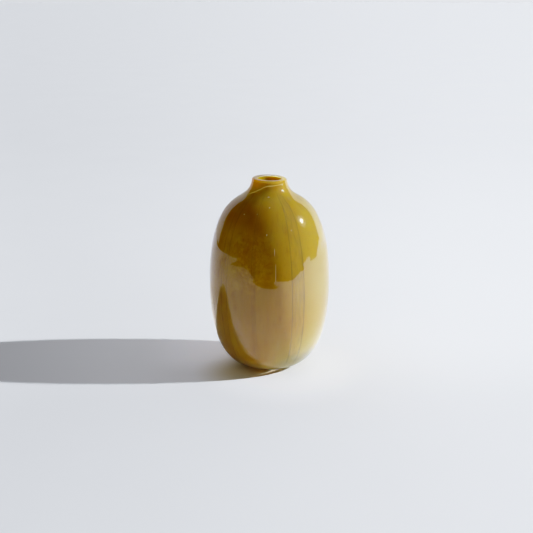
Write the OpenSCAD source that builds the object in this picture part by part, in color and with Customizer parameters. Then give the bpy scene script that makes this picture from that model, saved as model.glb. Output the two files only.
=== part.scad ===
// Small mouth-blown bud vase of cased glass: an amber core under a thick clear casing, with lengthwise
// grey streaks drawn out between the two. Millimetres, +Z up, origin at the middle of the foot, front to -Y.

/* [Body] */
// Height from the foot to the top of the lip
vase_h = 160; // [150:1:175]
// Widest diameter of the body
belly_d = 100; // [94:1:110]
// Height of the widest place above the foot
belly_z = 72; // [64:1:80]
// How full the body is below the widest place
low_fullness = 0.83; // [0.6:0.01:0.88]
// How full the body is above the widest place
high_fullness = 0.78; // [0.6:0.01:0.88]

/* [Foot] */
// Diameter of the flat foot
foot_d = 40; // [34:1:46]
// Rise of the heel where it leaves the foot, in degrees
heel_slope = 16; // [8:1:22]
// Length of the heel's shallow stretch
heel_reach = 12.5; // [8:0.5:18]
// Diameter of the ground hollow in the middle of the foot
pontil_d = 18; // [12:1:24]
// Depth of the ground hollow
pontil_depth = 0.8; // [0.4:0.1:1.2]

/* [Neck and mouth] */
// Diameter at which the shoulder turns up into the neck
neck_base_d = 58; // [52:1:62]
// Height of the neck, from that turn to the top of the lip
neck_h = 18; // [16:0.5:21]
// Slope of the shoulder at that turn, in degrees
shoulder_slope = 38; // [34:1:44]
// Slope of the neck just under the lip, in degrees
lip_slope = 80; // [75:0.5:85]
// Outer diameter just under the lip
lip_d = 28.6; // [27.6:0.2:30]
// Diameter of the mouth
mouth_d = 20; // [17:0.5:21]
// Length of the straight part of the mouth
mouth_land = 5; // [4:0.5:5.5]
// Rounding of the lip's outer edge
lip_outer_round = 1.6; // [1:0.1:2]
// Rounding of the lip's inner edge
lip_inner_round = 0.7; // [0.4:0.1:1]

/* [Glass] */
// Thickness of the clear casing on the body
casing_t = 2.5; // [2.2:0.1:3]
// Thickness of the clear glass over the core's top edge, at the lip
casing_lip_t = 1.1; // [1:0.1:1.5]
// Thickness of the clear casing under the core, at the foot
casing_base_t = 7; // [5:0.5:8]
// Thickness of the coloured core on the body
core_t = 2; // [1.6:0.1:2.4]
// Thickness of the coloured core's floor
core_base_t = 3; // [2:0.5:4]

/* [Streaks] */
// Thickness of a streak
streak_t = 0.6; // [0.3:0.1:0.8]
// Clear glass between a streak and the core
streak_gap = 0.3; // [0.2:0.1:0.6]

/* [Smoothness] */
// Straight pieces in each curve of the outline
curve_steps = 16; // [10:1:24]
// Straight pieces in each rounding of the lip
round_steps = 8; // [4:1:12]

/* [Hidden] */
$fn = 96;

belly_r = belly_d / 2;
mouth_r = mouth_d / 2;
lip_r = lip_d / 2;
neck_base_z = vase_h - neck_h;

// Handle lengths of the outline's curves
belly_low_reach = low_fullness * belly_z;
belly_high_reach = high_fullness * (neck_base_z - belly_z);
turn_low_reach = neck_h / 3;
turn_high_reach = neck_h * 0.38;
lip_reach = neck_h * 0.62;
throat_reach = neck_h / 3;

// The casing is casing_base_t thick at the foot and thins to casing_t over this share of the heel curve
thinning_share = 0.6;

// Each streak: middle, in degrees to the right of the front, and width, in degrees of turn
streaks = [[28, 14], [-15, 4], [-48, 9], [76, 6], [118, 12], [160, 5], [204, 10], [252, 7]];
// Stretch of the outline that a streak covers, counted in curves from the foot
streak_start = 0.25;
streak_end = 2.85;

function unit(v) = v / norm(v);
function heading(slope) = [-cos(slope), sin(slope)];

function curve_at(p, t) =
    pow(1 - t, 3) * p[0] + 3 * pow(1 - t, 2) * t * p[1] + 3 * (1 - t) * pow(t, 2) * p[2] + pow(t, 3) * p[3];
function curve_dir(p, t) =
    unit(pow(1 - t, 2) * (p[1] - p[0]) + 2 * (1 - t) * t * (p[2] - p[1]) + pow(t, 2) * (p[3] - p[2]));

foot_edge = [foot_d / 2, 0];
belly = [belly_r, belly_z];
turn = [neck_base_d / 2, neck_base_z];
lip_edge = [lip_r, vase_h - lip_outer_round]; // where the neck ends and the rounding of the lip starts

// The outside, foot to lip: heel curve, shoulder curve, neck curve
heel = [
    foot_edge,
    foot_edge + heel_reach * [cos(heel_slope), sin(heel_slope)],
    belly - [0, belly_low_reach],
    belly
];
shoulder = [
    belly,
    belly + [0, belly_high_reach],
    turn - turn_low_reach * heading(shoulder_slope),
    turn
];
neck = [
    turn,
    turn + turn_high_reach * heading(shoulder_slope),
    lip_edge - lip_reach * heading(lip_slope),
    lip_edge
];
outside = [heel, shoulder, neck];

// A point under the outside: place runs from 0 at the foot to 3 at the lip, depth is measured into the glass
function under(place, depth) =
    let (i = min(floor(place), 2), t = place - i, d = curve_dir(outside[i], t))
    curve_at(outside[i], t) + depth * [-d[1], d[0]];

// Share of the foot's extra thickness that is left at a place
function heel_share(place) =
    let (u = min(place / thinning_share, 1)) 1 - u * u * (3 - 2 * u);
function casing_depth(place) = casing_t + (casing_base_t - casing_t) * heel_share(place);
function wall_depth(place) = casing_depth(place) + core_t + (core_base_t - core_t) * heel_share(place);

outside_places = [for (i = [0 : 3 * curve_steps]) i / curve_steps];
body_places = [for (i = [0 : 2 * curve_steps]) i / curve_steps];

outside_line = [for (s = outside_places) under(s, 0)];
core_line = [for (s = outside_places) under(s, casing_depth(s))];
cavity_line = [for (s = body_places) under(s, wall_depth(s))];

core_floor_z = core_line[0][1];
cavity_floor_z = cavity_line[0][1];
core_top_z = vase_h - casing_lip_t;

// The throat joins the cavity to the straight part of the mouth
throat_start = cavity_line[len(cavity_line) - 1];
throat_end = [mouth_r, core_top_z - mouth_land];
throat = [
    throat_start,
    throat_start + throat_reach * heading(shoulder_slope),
    throat_end - [0, throat_reach],
    throat_end
];
throat_line = [for (i = [1 : curve_steps]) curve_at(throat, i / curve_steps)];

// A quarter round, without its first point
function quarter(middle, r, from) =
    [for (i = [1 : round_steps]) let (a = from + 90 * i / round_steps) middle + r * [cos(a), sin(a)]];
lip_line = concat(
    quarter([lip_r - lip_outer_round, vase_h - lip_outer_round], lip_outer_round, 0),
    [[mouth_r + lip_inner_round, vase_h]],
    quarter([mouth_r + lip_inner_round, vase_h - lip_inner_round], lip_inner_round, 90)
);

// The ground hollow is a shallow ball-shaped cap
pontil_r = pontil_d / 2;
pontil_ball_r = (pow(pontil_r, 2) + pow(pontil_depth, 2)) / (2 * pontil_depth);
pontil_line = [for (i = [0 : curve_steps])
    let (r = pontil_r * i / curve_steps)
    [r, pontil_depth - pontil_ball_r + sqrt(pow(pontil_ball_r, 2) - pow(r, 2))]];

function reversed(line) = [for (i = [len(line) - 1 : -1 : 0]) line[i]];

module amber_core() {
    color([0.62, 0.45, 0.06])
    rotate_extrude()
    polygon(concat(
        [[0, core_floor_z]], core_line,
        [[mouth_r, core_top_z]], reversed(throat_line), reversed(cavity_line),
        [[0, cavity_floor_z]]
    ));
}

// The clear gather before the streaks take their room in it
module casing_glass() {
    rotate_extrude()
    polygon(concat(
        pontil_line, outside_line, lip_line,
        [[mouth_r, core_top_z]], reversed(core_line),
        [[0, core_floor_z]]
    ));
}

module clear_casing() {
    color([0.85, 0.88, 0.86, 0.35])
    difference() {
        casing_glass();
        for (s = streaks) streak(s[0], s[1]);
    }
}

// One streak: a thin band that runs lengthwise under the outside and narrows towards the neck and the foot
module streak(middle, width) {
    span = streak_end - streak_start;
    places = [for (i = [0 : 2 * curve_steps]) streak_start + span * i / (2 * curve_steps)];
    deep = [for (s = places) under(s, casing_depth(s) - streak_gap)];
    shallow = [for (s = places) under(s, casing_depth(s) - streak_gap - streak_t)];
    rotate([0, 0, middle - width / 2 - 90])
    rotate_extrude(angle = width)
    polygon(concat(shallow, reversed(deep)));
}

module grey_streaks() {
    color([0.38, 0.34, 0.24])
    for (s = streaks) streak(s[0], s[1]);
}

amber_core();
clear_casing();
grey_streaks();
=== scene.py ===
import math

import bpy
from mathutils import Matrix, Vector


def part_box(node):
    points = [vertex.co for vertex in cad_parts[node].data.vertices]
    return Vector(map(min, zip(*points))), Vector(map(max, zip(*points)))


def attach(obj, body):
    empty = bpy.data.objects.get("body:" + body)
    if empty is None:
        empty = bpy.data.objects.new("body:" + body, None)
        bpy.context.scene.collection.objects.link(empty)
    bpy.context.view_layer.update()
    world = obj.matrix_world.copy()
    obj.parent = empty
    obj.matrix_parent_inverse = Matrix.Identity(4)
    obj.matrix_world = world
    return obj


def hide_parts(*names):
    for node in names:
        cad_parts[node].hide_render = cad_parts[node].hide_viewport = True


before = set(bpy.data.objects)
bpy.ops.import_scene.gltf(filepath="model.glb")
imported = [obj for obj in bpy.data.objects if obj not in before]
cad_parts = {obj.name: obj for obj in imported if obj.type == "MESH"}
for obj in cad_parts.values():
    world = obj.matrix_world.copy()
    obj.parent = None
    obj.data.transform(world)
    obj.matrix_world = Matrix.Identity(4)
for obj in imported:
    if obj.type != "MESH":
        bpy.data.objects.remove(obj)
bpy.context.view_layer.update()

MM = 0.001
CASING_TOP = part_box("clear_casing")[1]
HEIGHT = CASING_TOP.z
BELLY_R = CASING_TOP.x

# ------------------------------------------------------------ outline

# The same curves as in the CAD source. Only the glass at the mouth's edge is thinner here
FOOT_R = 20 * MM
BELLY_Z = 72 * MM
LOW_FULLNESS, HIGH_FULLNESS = 0.83, 0.78
HEEL_SLOPE, HEEL_REACH = 16, 12.5 * MM
PONTIL_R, PONTIL_DEPTH = 9 * MM, 0.8 * MM
NECK_BASE_R, NECK_H = 29 * MM, 18 * MM
SHOULDER_SLOPE, LIP_SLOPE = 38, 80
LIP_R, MOUTH_R, MOUTH_LAND = 14.3 * MM, 10 * MM, 5 * MM
LIP_OUTER_ROUND, LIP_INNER_ROUND = 1.6 * MM, 0.5 * MM
CASING_T, CASING_LIP_T, CASING_BASE_T = 2.5 * MM, 0.55 * MM, 7 * MM
CORE_T, CORE_BASE_T = 2 * MM, 3 * MM
CORE_TOP_Z = HEIGHT - CASING_LIP_T
THINNING_SHARE = 0.6

# Handle lengths of the curves at the neck and in the throat
TURN_LOW_REACH, TURN_HIGH_REACH = NECK_H / 3, NECK_H * 0.38
LIP_REACH, THROAT_REACH = NECK_H * 0.62, NECK_H / 3

OVERLAP = 0.4 * MM  # how far the casing's hidden inner side lies inside the core's wall

STEPS = 56  # pieces in each curve of the outline
TURNS = 240  # pieces round the axis
ROUND_STEPS = 10
HOLLOW_STEPS, FOOT_STEPS, RIM_STEPS, LAND_STEPS = 12, 8, 5, 6


def heading(slope):
    return Vector((-math.cos(math.radians(slope)), math.sin(math.radians(slope))))


def curve_at(p, t):
    return (1 - t) ** 3 * p[0] + 3 * (1 - t) ** 2 * t * p[1] + 3 * (1 - t) * t**2 * p[2] + t**3 * p[3]


def curve_dir(p, t):
    d = (1 - t) ** 2 * (p[1] - p[0]) + 2 * (1 - t) * t * (p[2] - p[1]) + t**2 * (p[3] - p[2])
    return d.normalized()


def outline_curves():
    """The outside, foot to lip: heel curve, shoulder curve, neck curve."""
    foot, belly = Vector((FOOT_R, 0)), Vector((BELLY_R, BELLY_Z))
    turn = Vector((NECK_BASE_R, HEIGHT - NECK_H))
    lip = Vector((LIP_R, HEIGHT - LIP_OUTER_ROUND))
    heel = HEEL_REACH * Vector((-heading(HEEL_SLOPE).x, heading(HEEL_SLOPE).y))
    low = Vector((0, LOW_FULLNESS * BELLY_Z))
    high = Vector((0, HIGH_FULLNESS * (turn.y - BELLY_Z)))
    shoulder, neck = heading(SHOULDER_SLOPE), heading(LIP_SLOPE)
    return [
        [foot, foot + heel, belly - low, belly],
        [belly, belly + high, turn - TURN_LOW_REACH * shoulder, turn],
        [turn, turn + TURN_HIGH_REACH * shoulder, lip - LIP_REACH * neck, lip],
    ]


OUTSIDE = outline_curves()


def under(place, depth):
    """A point under the outside: place runs from 0 at the foot to 3 at the lip, depth goes into the glass."""
    i = min(int(place), 2)
    d = curve_dir(OUTSIDE[i], place - i)
    return curve_at(OUTSIDE[i], place - i) + depth * Vector((-d.y, d.x))


def heel_share(place):
    """The share of the foot's extra thickness that is left at a place."""
    u = min(place / THINNING_SHARE, 1)
    return 1 - u * u * (3 - 2 * u)


def casing_depth(place):
    return CASING_T + (CASING_BASE_T - CASING_T) * heel_share(place)


def wall_depth(place):
    return casing_depth(place) + CORE_T + (CORE_BASE_T - CORE_T) * heel_share(place)


def line(depth, curves=3):
    """The outline of curves from the foot up, at a depth that depends on the place."""
    return [under(i / STEPS, depth(i / STEPS)) for i in range(curves * STEPS + 1)]


def quarter(middle, r, start):
    """A quarter round that starts at an angle in degrees, without its first point."""
    angles = [math.radians(start + 90 * i / ROUND_STEPS) for i in range(1, ROUND_STEPS + 1)]
    return [middle + r * Vector((math.cos(a), math.sin(a))) for a in angles]


def straight(a, b, steps):
    """The points between a and b, without these two."""
    return [a.lerp(b, i / steps) for i in range(1, steps)]


def casing_profile():
    """Hollow, foot, outside and lip, then back down inside the core's wall, where the core hides it."""
    ball_r = (PONTIL_R**2 + PONTIL_DEPTH**2) / (2 * PONTIL_DEPTH)
    radii = [PONTIL_R * i / HOLLOW_STEPS for i in range(HOLLOW_STEPS + 1)]
    hollow = [Vector((r, PONTIL_DEPTH - ball_r + math.sqrt(ball_r**2 - r**2))) for r in radii]
    foot_ring = straight(hollow[-1], OUTSIDE[0][0], FOOT_STEPS)
    outer = Vector((LIP_R - LIP_OUTER_ROUND, HEIGHT - LIP_OUTER_ROUND))
    inner = Vector((MOUTH_R + LIP_INNER_ROUND, HEIGHT - LIP_INNER_ROUND))
    rim_outer, rim_inner = Vector((outer.x, HEIGHT)), Vector((inner.x, HEIGHT))
    lip = quarter(outer, LIP_OUTER_ROUND, 0)
    lip += straight(rim_outer, rim_inner, RIM_STEPS) + [rim_inner]
    lip += quarter(inner, LIP_INNER_ROUND, 90) + [Vector((MOUTH_R, CORE_TOP_Z))]
    hidden = line(lambda place: casing_depth(place) + OVERLAP)
    hidden = hidden[:-3]  # its last points would come too near the lip
    hidden_top = [Vector((MOUTH_R + OVERLAP, CORE_TOP_Z - OVERLAP))]
    down = hidden_top + hidden[::-1] + [Vector((0, hidden[0].y))]
    return hollow + foot_ring + line(lambda place: 0) + lip + down


def core_profile():
    """Underside, outer side and top edge, then down the mouth, the throat and the cavity."""
    outer, inner = line(casing_depth), line(wall_depth, 2)
    top, end = Vector((MOUTH_R, CORE_TOP_Z)), Vector((MOUTH_R, CORE_TOP_Z - MOUTH_LAND))
    throat_start = inner[-1] + THROAT_REACH * heading(SHOULDER_SLOPE)
    throat = [inner[-1], throat_start, end - Vector((0, THROAT_REACH)), end]
    throat_line = [curve_at(throat, i / STEPS) for i in range(1, STEPS + 1)]
    up = [Vector((0, outer[0].y))] + outer + straight(outer[-1], top, RIM_STEPS) + [top]
    down = (throat_line + straight(end, top, LAND_STEPS))[::-1] + inner[::-1]
    return up + down + [Vector((0, inner[0].y))]


# ------------------------------------------------------------ meshes

RIM_TILT = 0.03  # the lip is a little lower on its right
TILT_FROM_Z = 0.140
# Waves in the body: height, number round the axis, phase, and change of phase with z
WAVES = [(0.12 * MM, 2, 0.6, 18), (0.05 * MM, 5, -2.1, 55)]
WAVES_GROW, WAVES_FADE = (0.004, 0.03), (0.13, 0.15)  # the heights between which the waves do so
ON_AXIS = 1e-7


def smoothstep(a, b, x):
    u = min(max((x - a) / (b - a), 0), 1)
    return u * u * (3 - 2 * u)


def blown(x, y, z):
    """The slight unevenness of hand-blown glass."""
    turn = math.atan2(y, x)
    wave = sum(high * math.sin(count * turn + phase + twist * z) for high, count, phase, twist in WAVES)
    body = smoothstep(*WAVES_GROW, z) * (1 - smoothstep(*WAVES_FADE, z))
    grow = 1 + body * wave / BELLY_R
    dz = -RIM_TILT * x * smoothstep(TILT_FROM_Z, HEIGHT, z)
    return Vector((x * grow, y * grow, z + dz))


def finish_mesh(name, verts, faces, smooth_below=35):
    mesh = bpy.data.meshes.new(name)
    mesh.from_pydata(verts, [], faces)
    mesh.validate()
    mesh.shade_smooth()
    mesh.set_sharp_from_angle(angle=math.radians(smooth_below))
    obj = bpy.data.objects.new(name, mesh)
    bpy.context.scene.collection.objects.link(obj)
    return obj


def ring_faces(rings, clockwise=False):
    """The faces from each ring of points to the next. A ring of one point closes an end."""
    faces, sides = [], max(len(ring) for ring in rings)
    for low, high in zip(rings, rings[1:]):
        for k in range(sides):
            a, b = k, (k + 1) % sides
            if clockwise:
                a, b = b, a
            if len(low) == 1:
                faces.append((low[0], high[b], high[a]))
            elif len(high) == 1:
                faces.append((low[a], low[b], high[0]))
            else:
                faces.append((low[a], low[b], high[b], high[a]))
    return faces


def lathe(name, profile):
    """A closed body of revolution. The profile starts and ends on the axis, with the glass on its left."""
    rings, verts = [], []
    for p in profile:
        turns = 1 if p.x < ON_AXIS else TURNS
        rings.append(range(len(verts), len(verts) + turns))
        for k in range(turns):
            a = 2 * math.pi * k / TURNS
            verts.append(blown(p.x * math.cos(a), p.x * math.sin(a), p.y))
    return finish_mesh(name, verts, ring_faces(rings))


# Each streak: middle and width in degrees to the right of the front, as in the CAD source
STREAKS = [(28, 14), (-15, 4), (-48, 9), (76, 6), (118, 12), (160, 5), (204, 10), (252, 7)]
STREAK_T, STREAK_GAP = 0.3 * MM, 0.4 * MM  # thinner than in the CAD source, and inside the streak there
STREAK_START, STREAK_END = 0.25, 2.85
STREAK_LENGTHS, STREAK_WIDTHS = 140, 16
WANDER, WANDER_BENDS = 0.8, 3.1  # how far a streak wanders, in degrees, and how many bends that makes
FAINT = 0.65  # how strong the other streaks are next to the first


def streak_ribbons(name):
    """Thin closed bands inside the casing.

    Each point says how far it is across its band and along it, from 0 to 1, and how strong the band looks.
    """
    verts, faces, across, along, strong = [], [], [], [], []
    row = STREAK_WIDTHS + 1
    for number, (middle, width) in enumerate(STREAKS):
        first = len(verts)
        for i in range(STREAK_LENGTHS + 1):
            share = i / STREAK_LENGTHS
            place = STREAK_START + (STREAK_END - STREAK_START) * share
            wander = WANDER * math.sin(WANDER_BENDS * share * math.pi + number)
            deep = casing_depth(place) - STREAK_GAP
            for depth in (deep, deep - STREAK_T):
                p = under(place, depth)
                for j in range(row):
                    a = math.radians(middle + wander + width * (j / STREAK_WIDTHS - 0.5))
                    verts.append(blown(p.x * math.sin(a), -p.x * math.cos(a), p.y))
                    across.append(j / STREAK_WIDTHS)
                    along.append(share)
                    strong.append(FAINT if number else 1.0)

        def at(i, side, j):
            return first + (2 * i + side) * row + j

        for i in range(STREAK_LENGTHS):
            for j in range(STREAK_WIDTHS):
                faces.append((at(i, 1, j), at(i, 1, j + 1), at(i + 1, 1, j + 1), at(i + 1, 1, j)))
                faces.append((at(i, 0, j), at(i + 1, 0, j), at(i + 1, 0, j + 1), at(i, 0, j + 1)))
            for j, flip in ((0, False), (STREAK_WIDTHS, True)):
                side = (at(i, 0, j), at(i, 1, j), at(i + 1, 1, j), at(i + 1, 0, j))
                faces.append(side[::-1] if flip else side)
        for i, flip in ((0, False), (STREAK_LENGTHS, True)):
            for j in range(STREAK_WIDTHS):
                end = (at(i, 0, j), at(i, 0, j + 1), at(i, 1, j + 1), at(i, 1, j))
                faces.append(end[::-1] if flip else end)
    obj = finish_mesh(name, verts, faces, 60)
    for key, numbers in (("across", across), ("along", along), ("strong", strong)):
        obj.data.attributes.new(key, "FLOAT", "POINT").data.foreach_set("value", numbers)
    return obj


def surface_point(turn, z, depth):
    """The point at depth under the outside, turn degrees to the right of the front, at height z."""
    low, high = 0.0, 3.0
    halvings = 40
    for _ in range(halvings):
        mid = (low + high) / 2
        low, high = (mid, high) if under(mid, depth).y < z else (low, mid)
    p, a = under(low, depth), math.radians(turn)
    return blown(p.x * math.sin(a), -p.x * math.cos(a), p.y)


# Air bubbles: degrees to the right of the front, then height, half width and half height in mm
SEEDS = [
    (-36, 136, 0.35, 0.35), (-17, 137, 0.22, 0.25), (-2, 147.8, 0.9, 0.22), (0, 141.4, 0.4, 0.28),
    (-3, 123, 0.32, 0.75), (25, 125.5, 0.28, 0.4), (64, 96, 0.25, 0.5), (110, 120, 0.3, 0.3),
    (150, 88, 0.25, 0.7), (195, 130, 0.35, 0.35), (240, 104, 0.25, 0.45), (290, 60, 0.2, 0.5),
    (47, 156.4, 0.4, 0.35), (5.8, 94, 0.16, 7.5), (4.9, 110, 0.14, 3.0), (172, 70, 0.15, 6.0),
]
SEED_DEPTH, SEED_HALF_THICK = 1.2 * MM, 0.3 * MM
SEED_BANDS, SEED_SIDES = 12, 12


def seed_bubbles(name):
    """Small closed bubbles, round or drawn out, that follow the outside."""
    verts, faces = [], []
    for turn, z, half_wide, half_high in SEEDS:
        a = math.radians(turn)
        out, side = Vector((math.sin(a), -math.cos(a), 0)), Vector((math.cos(a), math.sin(a), 0))
        rings = []
        for i in range(SEED_BANDS + 1):
            up = math.pi * (i / SEED_BANDS - 0.5)
            c = surface_point(turn, (z + half_high * math.sin(up)) * MM, SEED_DEPTH)
            r = half_wide * MM * math.cos(up)
            sides = 1 if i in (0, SEED_BANDS) else SEED_SIDES
            rings.append(range(len(verts), len(verts) + sides))
            for k in range(sides):
                b = 2 * math.pi * k / SEED_SIDES
                verts.append(c + side * r * math.cos(b) + out * min(r, SEED_HALF_THICK) * math.sin(b))
        faces += ring_faces(rings, clockwise=True)
    return finish_mesh(name, verts, faces, 180)


# A thin thread of glass that runs up round the neck: degrees to the right of the front, height in mm
THREAD = [
    (-70, 147.4), (-56, 149.0), (-40, 151.4), (-24, 153.9),
    (-8, 155.9), (10, 156.4), (31, 156.9), (52, 157.6),
]
THREAD_R, THREAD_DEPTH = 0.3 * MM, 0.1 * MM
THREAD_TIP = 0.15  # how thick its tips are next to its middle
THREAD_LEAN = 0.15  # its section leans back with the glass
THREAD_STEPS, THREAD_SIDES = 96, 10


def smooth_between(a, b, c, d, u):
    """The point at u, from 0 to 1, between b and c on a smooth curve through all four."""
    return 0.5 * (2 * b + u * (c - a) + u * u * (2 * a - 5 * b + 4 * c - d) + u**3 * (3 * b - a - 3 * c + d))


def neck_thread(name):
    """A closed tube, thinner towards both ends."""
    verts, faces = [], []
    steps, sides, last = THREAD_STEPS, THREAD_SIDES, len(THREAD) - 1
    up = Vector((0, 0, 1))
    for i in range(steps + 1):
        t = i / steps * last
        k = min(int(t), last - 1)
        around = [Vector(THREAD[min(max(k + j, 0), last)]) for j in (-1, 0, 1, 2)]
        turn, z = smooth_between(*around, t - k)
        r = THREAD_R * (THREAD_TIP + (1 - THREAD_TIP) * math.sin(math.pi * i / steps) ** 0.5)
        a = math.radians(turn)
        out = Vector((math.sin(a), -math.cos(a), THREAD_LEAN)).normalized()
        c = surface_point(turn, z * MM, THREAD_DEPTH)
        for j in range(sides):
            g = 2 * math.pi * j / sides
            verts.append(c + r * (math.cos(g) * out + math.sin(g) * up))
    for i in range(steps):
        for j in range(sides):
            n = (j + 1) % sides
            faces.append((i * sides + j, (i + 1) * sides + j, (i + 1) * sides + n, i * sides + n))
    faces.append(tuple(range(sides)))
    faces.append(tuple(steps * sides + j for j in reversed(range(sides))))
    return finish_mesh(name, verts, faces, 60)


# ------------------------------------------------------------ materials


class Nodes:
    """Short names for building a node material."""

    def __init__(self, name):
        self.material = bpy.data.materials.new(name)
        self.material.use_nodes = True
        self.tree = self.material.node_tree
        self.tree.nodes.clear()
        self.output = self.add("ShaderNodeOutputMaterial")

    def add(self, kind, **settings):
        node = self.tree.nodes.new(kind)
        for key, value in settings.items():
            setattr(node, key, value)
        return node

    def link(self, a, b):
        self.tree.links.new(a, b)

    def value(self, socket, value):
        if hasattr(value, "is_linked"):
            self.link(value, socket)
        else:
            socket.default_value = value

    def finished(self, shader):
        """The material, with shader as its surface."""
        self.link(shader, self.output.inputs[0])
        return self.material

    def math(self, operation, a, b=0.0, clamp=False):
        node = self.add("ShaderNodeMath", operation=operation, use_clamp=clamp)
        self.value(node.inputs[0], a)
        self.value(node.inputs[1], b)
        return node.outputs[0]

    def product(self, first, *others):
        for other in others:
            first = self.math("MULTIPLY", first, other)
        return first

    def mix(self, share, a, b, blend="MIX"):
        node = self.add("ShaderNodeMix", data_type="RGBA", blend_type=blend)
        self.value(node.inputs["Factor"], share)
        self.value(node.inputs["A"], a)
        self.value(node.inputs["B"], b)
        return node.outputs["Result"]

    def ramp(self, x, low, high, to_low=0.0, to_high=1.0, kind="LINEAR"):
        node = self.add("ShaderNodeMapRange", interpolation_type=kind)
        self.value(node.inputs["Value"], x)
        for key, v in zip(("From Min", "From Max", "To Min", "To Max"), (low, high, to_low, to_high)):
            node.inputs[key].default_value = v
        return node.outputs["Result"]

    def fade(self, x, low, high, to_low=0.0, to_high=1.0):
        return self.ramp(x, low, high, to_low, to_high, "SMOOTHSTEP")

    def noise(self, vector, scale, detail=2.0, roughness=0.5):
        node = self.add("ShaderNodeTexNoise")
        self.link(vector, node.inputs["Vector"])
        node.inputs["Scale"].default_value = scale
        node.inputs["Detail"].default_value = detail
        node.inputs["Roughness"].default_value = roughness
        return node.outputs["Fac"]

    def place(self):
        """Object coordinates: the vector itself, then x, y and z."""
        vector = self.add("ShaderNodeTexCoord").outputs["Object"]
        parts = self.add("ShaderNodeSeparateXYZ")
        self.link(vector, parts.inputs[0])
        return vector, *parts.outputs

    def from_axis(self):
        """The distance from the vase's axis."""
        _, x, y, _ = self.place()
        return self.math("SQRT", self.math("ADD", self.product(x, x), self.product(y, y)))

    def from_point(self, point):
        """The distance from a point."""
        apart = self.add("ShaderNodeVectorMath", operation="DISTANCE")
        self.link(self.place()[0], apart.inputs[0])
        apart.inputs[1].default_value = point
        return apart.outputs["Value"]

    def drawn_out(self, along):
        """A position that changes with the turn round the axis and only slowly with height."""
        _, x, y, z = self.place()
        r = self.math("MAXIMUM", self.from_axis(), 1e-4)
        joined = self.add("ShaderNodeCombineXYZ")
        self.link(self.math("DIVIDE", x, r), joined.inputs[0])
        self.link(self.math("DIVIDE", y, r), joined.inputs[1])
        self.link(self.product(z, along), joined.inputs[2])
        return joined.outputs[0]


def core_material():
    """Opal amber: broad tonal bands and fine cords drawn out along the body, with painted light and shade."""
    n = Nodes("amber_glass")
    vector, x, _, z = n.place()
    bands = n.noise(n.drawn_out(3.0), 2.2, 3.0, 0.6)
    cords = n.noise(n.drawn_out(9.0), 14.0, 3.0, 0.6)
    hairs = n.noise(n.drawn_out(22.0), 40.0, 2.0, 0.5)
    cloud = n.noise(vector, 210.0, 3.0, 0.65)
    heights = n.product(n.fade(z, 0.06, 0.09), n.fade(z, 0.11, 0.14, 1.0, 0.0))
    middle_left = n.product(n.fade(x, -0.036, -0.024), n.fade(x, -0.01, 0.014, 0.6, 0.0))
    clouds = n.product(n.fade(cloud, 0.47, 0.66, 0.0, 0.75), n.product(heights, middle_left))
    # Painted shade: darker on the left just under the neck, below where light comes through the neck
    painted_shade_under_neck = n.product(n.fade(z, 0.120, 0.132), n.fade(x, -0.004, 0.008, 0.8, 0.0))
    # Painted light: the left of the neck is lighter, where light comes through its thin glass
    neck = n.product(n.fade(z, 0.138, 0.15), n.fade(x, -0.008, 0.008, 1.0, 0.15))
    # Painted light: lighter and yellower low on the right, where light from the sun and the lit floor falls
    painted_light_low_right = n.product(n.fade(z, 0.014, 0.052, 0.66, 0.0), n.fade(x, -0.01, 0.018))
    # Painted light: lighter at the bottom on the left, where light comes through the clear foot
    painted_light_foot_left = n.product(n.fade(z, 0.007, 0.017, 1.0, 0.0), n.fade(x, -0.006, 0.016, 1.0, 0.0))
    # Painted light: paler at the bottom on the right, where the lit floor shows through the clear foot
    painted_light_foot_right = n.product(n.fade(z, 0.009, 0.026, 1.0, 0.0), n.fade(x, -0.006, 0.016))
    inside_mouth = n.product(n.fade(n.from_axis(), 0.0102, 0.0112, 1.0, 0.0), n.fade(z, 0.13, 0.15))
    # Each layer over the bands: its share, then its colour
    layers = (
        (n.fade(cords, 0.52, 0.72, 0.0, 0.55), (0.36, 0.18, 0.01, 1)),
        (n.fade(hairs, 0.6, 0.7, 0.0, 0.45), (0.30, 0.16, 0.01, 1)),
        # Painted light: yellower towards the right, the side the sun falls on
        (n.fade(x, 0.012, 0.036, 0.0, 0.7), (0.50, 0.345, 0.022, 1)),
        (clouds, (0.66, 0.44, 0.03, 1)),
        (painted_shade_under_neck, (0.40, 0.21, 0.004, 1)),
        (neck, (0.57, 0.38, 0.024, 1)),
        (painted_light_low_right, (0.58, 0.51, 0.075, 1)),
        (painted_light_foot_left, (0.56, 0.43, 0.18, 1)),
        (painted_light_foot_right, (0.44, 0.44, 0.24, 1)),
        (inside_mouth, (0.46, 0.29, 0.008, 1)),
    )
    tone = n.mix(n.fade(bands, 0.36, 0.64), (0.455, 0.268, 0.012, 1), (0.50, 0.315, 0.016, 1))
    for share, colour in layers:
        tone = n.mix(share, tone, colour)
    shader = n.add("ShaderNodeBsdfPrincipled")
    n.link(tone, shader.inputs["Base Color"])
    shader.inputs["Roughness"].default_value = 0.5
    shader.inputs["Specular IOR Level"].default_value = 0.0
    shader.inputs["Subsurface Weight"].default_value = 1.0
    shader.inputs["Subsurface Radius"].default_value = (1.0, 0.72, 0.1)
    shader.inputs["Subsurface Scale"].default_value = 7 * MM
    return n.finished(shader.outputs[0])


# The room's light crosses the glass at a slant, so it arrives dimmer and warmer
ROOM_LIGHT_THROUGH_GLASS = (0.68, 0.57, 0.3, 1)
# Where the glass is seen edge-on from a lamp, it bends most of the lamp's light away
LAMP_LIGHT_AT_EDGE = (0.1, 0.1, 0.1, 1)


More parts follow.
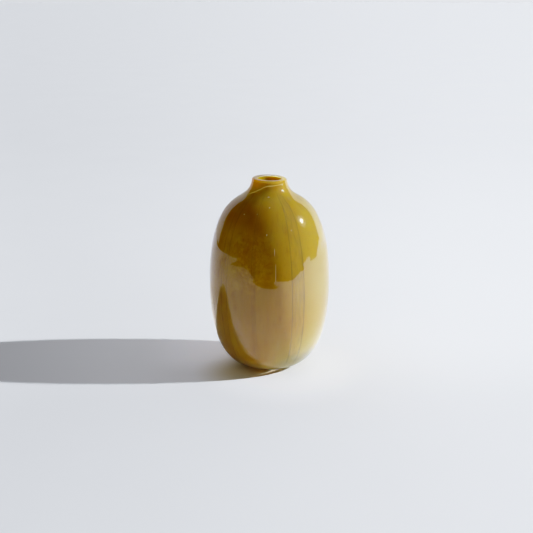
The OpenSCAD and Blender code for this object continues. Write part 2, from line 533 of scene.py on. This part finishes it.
def passes_lamps(n, shader):
    """Lets lamp light and bounced light go straight through, so that it reaches what is inside the glass."""
    path = n.add("ShaderNodeLightPath")
    from_lamp, bounced = path.outputs["Is Shadow Ray"], path.outputs["Is Diffuse Ray"]
    clear = n.add("ShaderNodeBsdfTransparent")
    facing = n.add("ShaderNodeLayerWeight").outputs["Facing"]
    at_edge = n.product(n.fade(facing, 0.62, 0.70), from_lamp)
    lamps = n.mix(at_edge, (1, 1, 1, 1), LAMP_LIGHT_AT_EDGE)
    n.link(n.mix(bounced, lamps, ROOM_LIGHT_THROUGH_GLASS), clear.inputs[0])
    mixed = n.add("ShaderNodeMixShader")
    n.link(n.math("MAXIMUM", from_lamp, bounced), mixed.inputs[0])
    n.link(shader, mixed.inputs[1])
    n.link(clear.outputs[0], mixed.inputs[2])
    return mixed.outputs[0]


def casing_material():
    """Clear glass with very slight waves drawn out along the body."""
    n = Nodes("clear_glass")
    shader = n.add("ShaderNodeBsdfPrincipled")
    shader.inputs["Base Color"].default_value = (0.97, 0.985, 0.97, 1)
    shader.inputs["Transmission Weight"].default_value = 1.0
    shader.inputs["Roughness"].default_value = 0.012
    shader.inputs["IOR"].default_value = 1.6
    bump = n.add("ShaderNodeBump")
    bump.inputs["Strength"].default_value = 0.06
    bump.inputs["Distance"].default_value = 0.4 * MM
    n.link(n.noise(n.drawn_out(12.0), 9.0, 2.0), bump.inputs["Height"])
    n.link(bump.outputs[0], shader.inputs["Normal"])
    return n.finished(passes_lamps(n, shader.outputs[0]))


def streak_material():
    """Grey glass that is thin in the band's middle, darker along both edges, and fades out at both ends."""
    n = Nodes("grey_glass")
    across, along, strong = (
        n.add("ShaderNodeAttribute", attribute_name=key).outputs["Fac"]
        for key in ("across", "along", "strong")
    )
    from_middle = n.product(n.math("ABSOLUTE", n.math("SUBTRACT", across, 0.5)), 2.0)
    edge = n.product(n.fade(from_middle, 0.74, 0.9), n.fade(from_middle, 0.92, 1.0, 1.0, 0.0))
    ends = n.product(n.fade(along, 0.0, 0.12), n.fade(along, 0.88, 1.0, 1.0, 0.0))
    grain = n.fade(n.noise(n.drawn_out(6.0), 20.0, 3.0), 0.35, 0.7, 0.0, 0.06)
    alpha = n.math("ADD", n.product(edge, 0.125), grain, clamp=True)
    shader = n.add("ShaderNodeBsdfPrincipled")
    n.link(n.mix(edge, (0.36, 0.30, 0.08, 1), (0.13, 0.10, 0.02, 1)), shader.inputs["Base Color"])
    shader.inputs["Roughness"].default_value = 0.6
    shader.inputs["Specular IOR Level"].default_value = 0.0
    n.link(n.product(alpha, ends, strong), shader.inputs["Alpha"])
    return n.finished(shader.outputs[0])


def seed_material():
    """The silvery look of a small air bubble inside glass."""
    n = Nodes("air_bubble")
    shader = n.add("ShaderNodeBsdfPrincipled")
    tint = n.mix(n.noise(n.place()[0], 900.0), (0.95, 0.85, 0.6, 1), (1.0, 0.95, 0.8, 1))
    n.link(tint, shader.inputs["Base Color"])
    shader.inputs["Metallic"].default_value = 0.6
    shader.inputs["Roughness"].default_value = 0.35
    return n.finished(shader.outputs[0])


def thread_material():
    """Golden glass, a little uneven along its length."""
    n = Nodes("golden_thread")
    shader = n.add("ShaderNodeBsdfPrincipled")
    gold = n.mix(n.noise(n.place()[0], 260.0), (0.80, 0.60, 0.10, 1), (1.0, 0.82, 0.28, 1))
    n.link(gold, shader.inputs["Base Color"])
    shader.inputs["Roughness"].default_value = 0.2
    return n.finished(shader.outputs[0])


def give(obj, material):
    obj.data.materials.clear()
    obj.data.materials.append(material)
    return obj


# ------------------------------------------------------------ the vase

core = give(lathe("core_wall", core_profile()), core_material())
casing = give(lathe("casing_shell", casing_profile()), casing_material())
ribbons = give(streak_ribbons("streak_ribbons"), streak_material())
seeds = give(seed_bubbles("air_seeds"), seed_material())
thread = give(neck_thread("neck_thread"), thread_material())

for piece, node, slot in (
    (core, "amber_core", "amber_glass"),
    (casing, "clear_casing", "clear_glass"),
    (ribbons, "grey_streaks", "grey_glass"),
    (seeds, None, "clear_glass"),
    (thread, None, "amber_glass"),
):
    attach(piece, "root")
    if node:
        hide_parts(node)

# ------------------------------------------------------------ floor and surroundings

FLOOR_R = 14.0
PAPER = (0.84, 0.862, 0.89)
SUN_ELEVATION, GLINT_ELEVATION = 27.6, 34
# Three flat pieces lie just over the floor, each at its own height
MIRRORED_FLOOR_Z, SHADED_FLOOR_Z, MIRRORED_SHADE_Z = 0.02 * MM, 0.03 * MM, 0.04 * MM


def circle(r, sides):
    angles = [2 * math.pi * i / sides for i in range(sides)]
    return [(r * math.cos(a), r * math.sin(a)) for a in angles]


def flat(name, points):
    return finish_mesh(name, points, [tuple(range(len(points)))])


def see(obj, **kinds):
    """Stage pieces show only to the kinds of ray that are named."""
    for kind in ("camera", "diffuse", "glossy", "transmission", "shadow", "volume_scatter"):
        setattr(obj, "visible_" + kind, kinds.get(kind, False))
    return obj


def sideways(n):
    """From -1 to the left of the vase to 1 to its right, whatever the distance."""
    return n.math("DIVIDE", n.place()[1], n.math("MAXIMUM", n.from_axis(), 1e-3))


def across_the_floor(n):
    """Grows from the left to the right of the scene, near and far alike."""
    _, x, y, _ = n.place()
    return n.math("DIVIDE", x, n.math("ADD", n.math("ABSOLUTE", y), 0.5))


def shaded(n, levels, *shares):
    """A colour of three levels, multiplied by each share."""
    colour = n.add("ShaderNodeCombineColor")
    for socket, level in zip(colour.inputs, levels):
        for share in shares:
            level = n.product(share, level)
        n.link(level, socket)
    return colour.outputs[0]


def paper_material(name, levels, glare, tint=None):
    """Matt paper with a very slight mottle. glare(n) is the share of light that each place sends back."""
    n = Nodes(name)
    mottle = n.fade(n.noise(n.place()[0], 9.0, 4.0), 0.2, 0.8, 0.985, 1.0)
    shader = n.add("ShaderNodeBsdfDiffuse")
    colour = shaded(n, levels, mottle, glare(n))
    n.link(n.mix(1.0, colour, tint(n), "MULTIPLY") if tint else colour, shader.inputs[0])
    return n.finished(shader.outputs[0])


def glow_material(name, levels, glare):
    """A glow that changes from left to right."""
    n = Nodes(name)
    shader = n.add("ShaderNodeEmission")
    n.link(shaded(n, levels, n.fade(sideways(n), *glare)), shader.inputs[0])
    return n.finished(shader.outputs[0])


def seen_glare(n):
    """More light towards the right, where the sun stands, round the foot, and just behind the vase."""
    y = n.place()[2]
    to_the_right = n.fade(across_the_floor(n), -0.35, 0.35, 0.86, 1.14)
    behind = n.product(n.fade(y, -0.12, 0.06, 1.0, 1.11), n.fade(y, 0.15, 1.2, 1.0, 0.93))
    near_foot = n.fade(n.from_point((0.01, -0.02, 0)), 0.02, 0.08, 1.19, 1.0)
    return n.product(to_the_right, behind, near_foot)


def mirrored_glare(n):
    """At a low angle the floor is much brighter towards the sun, and it is brighter close to the vase."""
    y, away, side = n.place()[2], n.from_axis(), sideways(n)
    dimmer_behind = n.product(n.fade(away, 0.4, 1.4, 0.3, -0.15), n.fade(y, 0.0, 0.15))
    by_distance = n.math("SUBTRACT", n.fade(away, 0.08, 0.3, 0.4, 1.0), dimmer_behind)
    towards_sun = n.product(n.math("POWER", n.ramp(side, -0.2, 1.0), 2.2), by_distance)
    right = n.math("ADD", n.product(towards_sun, 1.28), 1.0)
    far_away = n.product(n.fade(away, 0.3, 0.7), n.fade(y, 0.1, 0.35, 1.0, 0.2))
    far_left = n.product(n.ramp(side, -0.9, 0.1, 1.0, 0.0), far_away)
    left = n.math("SUBTRACT", 1.0, n.product(far_left, 0.36))
    # Painted shade: the mirrored floor is darker right under the heel
    painted_shade_under_heel = n.fade(away, 0.035, 0.06, 0.7, 1.0)
    close_up = n.product(n.fade(away, 0.07, 0.22, 0.34, 0.0), n.math("SUBTRACT", 1.0, towards_sun))
    return n.product(right, left, painted_shade_under_heel, n.math("ADD", 1.0, close_up))


def mirrored_tint(n):
    """Warmer to the left, where less of the blue sky comes in, and bluer to the right and behind."""
    y = n.place()[2]
    cool = n.math("MAXIMUM", n.fade(sideways(n), -0.6, 0.9), n.fade(y, 0.1, 0.3))
    tint = n.mix(cool, (1.0, 0.965, 0.955, 1), (0.98, 1.02, 1.09, 1))
    return n.mix(n.fade(y, 0.25, 0.8), tint, (1.0, 1.06, 1.22, 1))


def disc(name, r, sides=64):
    return flat(name, [Vector((x, y, 0)) for x, y in circle(r, sides)])


floor = give(disc("floor", FLOOR_R), paper_material("paper", PAPER, seen_glare))
see(floor, camera=True, diffuse=True, transmission=True)

SHADE_START, SHADE_LENGTH, SHADE_STEPS = 0.03, 0.35, 90  # from X = 0.03, under the body, towards -X


def shade_width(x):
    """Half the width of the vase's shadow at x: the widest of the discs that the outline throws along -X."""
    per_curve = 30
    rings = [under(i / per_curve, 0) for i in range(3 * per_curve + 1)]
    drop = math.tan(math.radians(SUN_ELEVATION))
    return math.sqrt(max(0.0, *(p.x**2 - (x + p.y / drop) ** 2 for p in rings)))


def shade(name, wider, lift, material):
    """A flat piece with the outline of the vase's shadow."""
    places = [SHADE_START - SHADE_LENGTH * i / SHADE_STEPS for i in range(SHADE_STEPS + 1)]
    edge = [(x, wider * shade_width(x)) for x in places]
    edge = [(x, w) for x, w in edge if w > 0]
    ring = [Vector((x, -w, 0)) for x, w in edge] + [Vector((x, w, 0)) for x, w in reversed(edge)]
    piece = flat(name, ring[::-1])
    piece.location.z = lift
    return give(piece, material)


def shade_tint(n):
    """The shadow is brown where it meets the foot, brightest a little way off, and darker at its far end."""
    _, x, y, _ = n.place()
    near = n.product(n.fade(x, -0.12, -0.04), n.fade(y, -0.035, 0.01))
    along = n.mix(near, (1, 1, 1, 1), (1.25, 1.25, 1.27, 1))
    along = n.mix(n.fade(x, -0.28, -0.1, 1.0, 0.0), along, (0.76, 0.76, 0.76, 1))
    # Painted amber light from the glass, by the foot, inside the painted shadow
    amber = n.mix(n.fade(x, -0.022, 0.0), (0.59, 0.51, 0.32, 1), (0.76, 0.58, 0.27, 1))
    away_from_foot = n.fade(n.from_point((-0.02, -0.026, 0)), 0.008, 0.048)
    return n.mix(away_from_foot, amber, along)


shaded_paper = paper_material("shaded_paper", PAPER, seen_glare, shade_tint)
shaded_floor = shade("shaded_floor", 1.0, SHADED_FLOOR_Z, shaded_paper)
see(shaded_floor, camera=True, diffuse=True, transmission=True)

# What the glass mirrors: the lit floor ends in front of the vase, where the dim room starts
MIRRORED_EDGE = [
    (4.0, 4.0), (4.0, 2.2), (1.6, 0.48), (0.93, 0.19), (1.0, 0.01), (1.07, -0.14), (1.7, -0.22),
    (3.0, -0.47), (1.76, -0.51), (1.1, -0.5), (0.76, -0.33), (0.6, -0.29), (0.61, -0.37),
    (0.46, -0.37), (0.34, -0.37), (0.27, -0.41), (0.16, -0.48), (0.055, -0.5), (0.06, -0.42),
    (0.1, -0.38), (0.07, -0.36), (-0.07, -0.36), (-0.15, -0.37), (-0.24, -0.4), (-0.26, -0.46),
    (-0.4, -0.58), (-0.6, -0.72), (-0.86, -0.77), (-0.93, -0.61), (-0.94, -0.31), (-0.95, -0.18),
    (-1.5, -0.59), (-4.0, -2.1), (-3.2, -0.7), (-2.4, 0.15), (-1.74, 0.35), (-1.2, 0.55),
    (-0.97, 0.65), (-0.92, 1.0), (-1.5, 4.0),
]
mirrored_paper = paper_material("paper_in_mirror", (0.80, 0.82, 0.83), mirrored_glare, mirrored_tint)
mirrored_floor = flat("mirrored_floor", [Vector((x, y, 0)) for x, y in reversed(MIRRORED_EDGE)])
give(mirrored_floor, mirrored_paper)
mirrored_floor.location.z = MIRRORED_FLOOR_Z
see(mirrored_floor, glossy=True)

# Its shadow looks a little wider in the glass than on the floor
paper_in_shade = paper_material("paper_in_shade", (0.36, 0.36, 0.36), mirrored_glare)
mirrored_shade = shade("mirrored_shade", 1.12, MIRRORED_SHADE_Z, paper_in_shade)
see(mirrored_shade, glossy=True)

BACKDROP_Y = 0.9
BACKDROP_EDGE = [
    (1.5, 0), (1.4, 0.3), (0.85, 0.65), (0.5, 0.95), (-0.5, 0.95), (-1.0, 0.6), (-1.4, 0.3), (-1.5, 0),
]
backdrop = flat("mirrored_backdrop", [Vector((x, BACKDROP_Y, z)) for x, z in BACKDROP_EDGE])
give(backdrop, glow_material("backdrop_glow", (0.80, 0.83, 0.86), (0.2, 1.0, 0.9, 2.6)))
see(backdrop, glossy=True)


def surround(name, r=10.1, bottom=-0.01, top=12.0, sides=64):
    """A far pale wall all round, so that every view has a plain background."""
    verts = [Vector((x, y, z)) for z in (bottom, top) for x, y in circle(r, sides)]
    faces = [(i, i + sides, (i + 1) % sides + sides, (i + 1) % sides) for i in range(sides)]
    return finish_mesh(name, verts, faces)


wall_glow = glow_material("surround_glow", (0.87, 0.905, 0.96), (-0.35, 0.35, 0.9, 1.1))
see(give(surround("surround"), wall_glow), camera=True, transmission=True)


def mirrored_sun(name, distance=2.0, r=0.42, sides=48):
    """The soft bright glint: a disc in the sun's direction that only the glass mirrors."""
    up = math.radians(GLINT_ELEVATION)
    middle = distance * Vector((math.cos(up), 0, math.sin(up)))
    side, rise = Vector((0, 1, 0)), Vector((-math.sin(up), 0, math.cos(up)))
    n = Nodes("sun_glow")
    apart = n.from_point(middle)
    bright = n.fade(apart, 0.1 * r, 0.4 * r, 40.0, 0.0)
    halo = n.fade(apart, 0.3 * r, r, 2.5, 0.0)
    shader = n.add("ShaderNodeEmission")
    shader.inputs[0].default_value = (1.0, 0.98, 0.94, 1)
    n.link(n.math("ADD", bright, halo), shader.inputs[1])
    ring = [middle + r * (u * side + v * rise) for u, v in circle(1, sides)]
    return give(flat(name, ring), n.finished(shader.outputs[0]))


see(mirrored_sun("mirrored_sun"), glossy=True)

# ------------------------------------------------------------ light


def lamp(name, kind, energy, on, colour=(1, 1, 1), **settings):
    """A lamp that lights only the objects in on."""
    obj = bpy.data.objects.new(name, bpy.data.lights.new(name, kind))
    obj.data.energy = energy
    obj.data.color = colour
    for key, value in settings.items():
        setattr(obj.data, key, value)
    bpy.context.scene.collection.objects.link(obj)
    lit = bpy.data.collections.new(name + "_lights")
    for o in on:
        lit.objects.link(o)
    obj.light_linking.receiver_collection = lit
    return obj


def aim(obj, place, target):
    obj.location = place
    obj.rotation_euler = (Vector(target) - Vector(place)).to_track_quat("-Z", "Y").to_euler()


# One sun from the right, as one lamp for each kind of surface. Each: energy, what it lights, colour and
# angle in degrees. Opal glass sends back paler light from direct sun, so the core's lamp is much bluer
SUNS = {
    "sun": (4.3, [floor, shaded_floor, casing, seeds, thread], (0.96, 1.0, 1.055), 1.6),
    "sun_on_core": (4.6, [core, ribbons], (0.80, 0.96, 3.6), 0.9),
    "sun_on_mirrored_floor": (6.4, [mirrored_floor, mirrored_shade], (1, 1, 1), 0.9),
}
for name, (energy, on, colour, angle) in SUNS.items():
    sun = lamp(name, "SUN", energy, on, colour, angle=math.radians(angle))
    sun.rotation_euler = (0, math.radians(90 - SUN_ELEVATION), 0)

# Light from the room that only the shadow needs
shade_fill = lamp("shade_fill", "SUN", 0.3, [shaded_floor], (0.97, 0.98, 1.0), angle=math.radians(50))
aim(shade_fill, (-0.5, 0.4, 0.9), (0, 0, 0))

# Light that the bright floor in front throws up at the core
floor_bounce = lamp("floor_bounce", "AREA", 0.04, [core], (1.0, 0.8, 0.7), size=0.12)
aim(floor_bounce, (0.05, -0.08, 0.002), (0, 0, 0.03))

ROOM_COLOUR = (0.91, 0.905, 0.945, 1)
ROOM_LEVEL_IN_FRONT, ROOM_LEVEL_BEHIND = 0.2, 0.72


def room_light():
    """The room's soft light, stronger from behind the vase. The camera and the reflections don't see it."""
    world = bpy.data.worlds.new("room")
    world.use_nodes = True
    nodes, link = world.node_tree.nodes, world.node_tree.links.new
    level = nodes.new("ShaderNodeMapRange")
    direction = nodes.new("ShaderNodeSeparateXYZ")
    sky = nodes.new("ShaderNodeTexCoord")
    room = nodes["Background"]
    room.inputs[0].default_value = ROOM_COLOUR
    for socket, number in zip(level.inputs[1:5], (-1.0, 1.0, ROOM_LEVEL_IN_FRONT, ROOM_LEVEL_BEHIND)):
        socket.default_value = number
    link(sky.outputs["Generated"], direction.inputs[0])
    link(direction.outputs["Y"], level.inputs[0])
    link(level.outputs[0], room.inputs[1])
    world.cycles_visibility.glossy = False
    world.cycles_visibility.camera = False
    return world


bpy.context.scene.world = room_light()

# ------------------------------------------------------------ camera

CAMERA_PLACE = (-0.0024, -0.756, 0.320)
CAMERA_TILT = 17.3  # degrees down from level

camera = bpy.data.objects.new("camera", bpy.data.cameras.new("camera"))
camera.location = CAMERA_PLACE
camera.rotation_euler = (math.radians(90 - CAMERA_TILT), 0, 0)
camera.data.sensor_width = 36
camera.data.lens = 64
camera.data.clip_start, camera.data.clip_end = 0.01, 50
bpy.context.scene.collection.objects.link(camera)
bpy.context.scene.camera = camera

# The picture's contrast: a slight toe in the darks, and highlights that are held back
TONE_CURVE = [
    (0.02, 0.008), (0.05, 0.033), (0.09, 0.078), (0.2, 0.198), (0.4, 0.395),
    (0.6, 0.57), (0.8, 0.70), (1.0, 0.80), (1.2, 0.88), (1.4, 0.94),
]
BRIGHTEST = 1.7
view = bpy.context.scene.view_settings
view.view_transform = "Standard"
view.use_curve_mapping = True
view.curve_mapping.clip_max_x = BRIGHTEST
view.curve_mapping.curves[3].points[-1].location = (BRIGHTEST, 1.0)
for point in TONE_CURVE:
    view.curve_mapping.curves[3].points.new(*point)
view.curve_mapping.update()
bpy.context.scene.cycles.use_denoising = True
